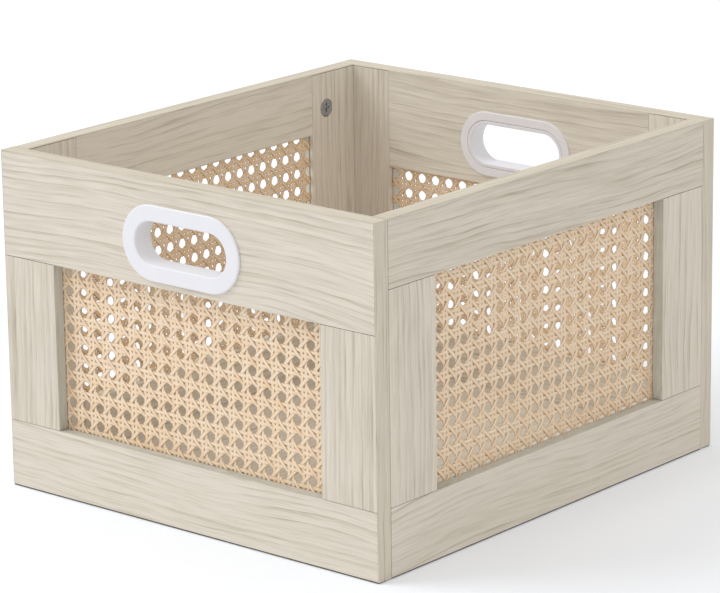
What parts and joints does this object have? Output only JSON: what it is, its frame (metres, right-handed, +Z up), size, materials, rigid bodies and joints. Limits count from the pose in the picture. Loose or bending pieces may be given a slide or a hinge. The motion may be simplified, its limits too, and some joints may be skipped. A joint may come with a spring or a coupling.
{
  "type": "record storage crate",
  "caption": "Open-topped wooden crate for upright records: lapped board frames filled with woven cane, a housed base and a moulded hand grip through each end.",
  "frame": {"origin": "on the floor, under the middle of the crate", "axes": "+X to the right along the front, +Y from the front to the back, +Z up; the front end with its hand grip faces -Y"},
  "size_m": [0.36, 0.404, 0.26],
  "materials": {
    "boards": "satin wood-grain finish, whitewashed",
    "edging": "satin wood-grain edging",
    "base": "satin wood-grain finish",
    "cane": "natural woven cane, slight sheen",
    "grip": "smooth white moulding",
    "cam_zinc": "die-cast zinc",
    "bolt_steel": "plated steel",
    "dowel": "bare hardwood"
  },
  "bodies": {
    "root": {"front_outer_top_rail": "boards", "front_outer_bottom_rail": "boards", "front_outer_stile_a": "boards", "front_outer_stile_b": "boards", "front_inner_top_rail": "boards", "front_inner_bottom_rail": "boards", "front_inner_stile_a": "boards", "front_inner_stile_b": "boards", "front_cane_webbing": "cane", "front_edge_band": "edging", "back_outer_top_rail": "boards", "back_outer_bottom_rail": "boards", "back_outer_stile_a": "boards", "back_outer_stile_b": "boards", "back_inner_top_rail": "boards", "back_inner_bottom_rail": "boards", "back_inner_stile_a": "boards", "back_inner_stile_b": "boards", "back_cane_webbing": "cane", "back_edge_band": "edging", "left_outer_top_rail": "boards", "left_outer_bottom_rail": "boards", "left_outer_stile_a": "boards", "left_outer_stile_b": "boards", "left_inner_top_rail": "boards", "left_inner_bottom_rail": "boards", "left_inner_stile_a": "boards", "left_inner_stile_b": "boards", "left_cane_webbing": "cane", "left_edge_band": "edging", "right_outer_top_rail": "boards", "right_outer_bottom_rail": "boards", "right_outer_stile_a": "boards", "right_outer_stile_b": "boards", "right_inner_top_rail": "boards", "right_inner_bottom_rail": "boards", "right_inner_stile_a": "boards", "right_inner_stile_b": "boards", "right_cane_webbing": "cane", "right_edge_band": "edging", "front_grip_bezel": "grip", "front_grip_liner": "grip", "back_grip_bezel": "grip", "back_grip_liner": "grip", "base_board": "base", "cam_front_left": "cam_zinc", "cam_bolt_front_left": "bolt_steel", "dowel_front_left": "dowel", "cam_front_right": "cam_zinc", "cam_bolt_front_right": "bolt_steel", "dowel_front_right": "dowel", "cam_back_left": "cam_zinc", "cam_bolt_back_left": "bolt_steel", "dowel_back_left": "dowel", "cam_back_right": "cam_zinc", "cam_bolt_back_right": "bolt_steel", "dowel_back_right": "dowel"}
  },
  "joints": []
}
